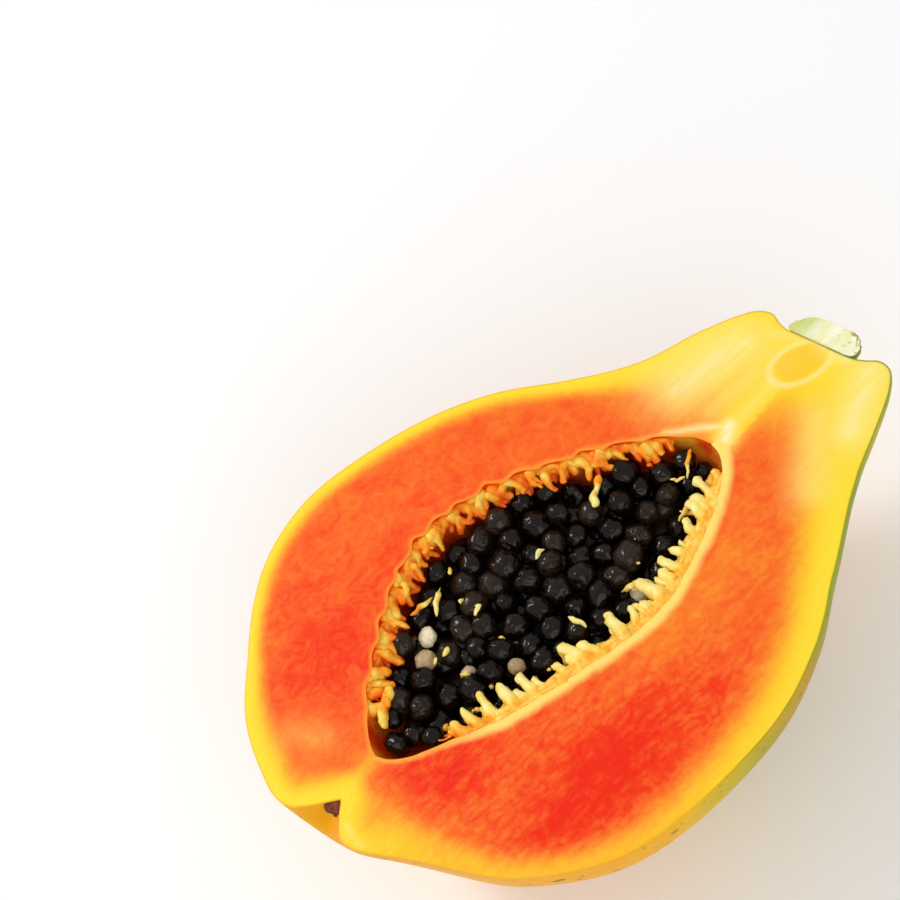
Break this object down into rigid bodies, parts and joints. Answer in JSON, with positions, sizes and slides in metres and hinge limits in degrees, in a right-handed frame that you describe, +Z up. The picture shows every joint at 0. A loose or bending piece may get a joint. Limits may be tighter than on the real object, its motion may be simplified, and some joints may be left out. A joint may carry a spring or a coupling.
{
  "type": "papaya half",
  "caption": "Half of a ripe papaya cut lengthwise, lying on its skin with the cut face up, seeds heaped in its hollow.",
  "frame": {"origin": "on the surface the half rests on, under the middle of its box", "axes": "+X along the fruit towards the stalk, +Y across it, +Z up out of the level cut face"},
  "size_m": [0.1698, 0.1224, 0.0597],
  "materials": {
    "flesh_and_skin": "satin",
    "seed_coat": "gloss",
    "stalk": "matte"
  },
  "bodies": {
    "root": {"fruit_half": "flesh_and_skin", "seeds": "seed_coat", "stem_stub": "stalk"}
  },
  "joints": []
}
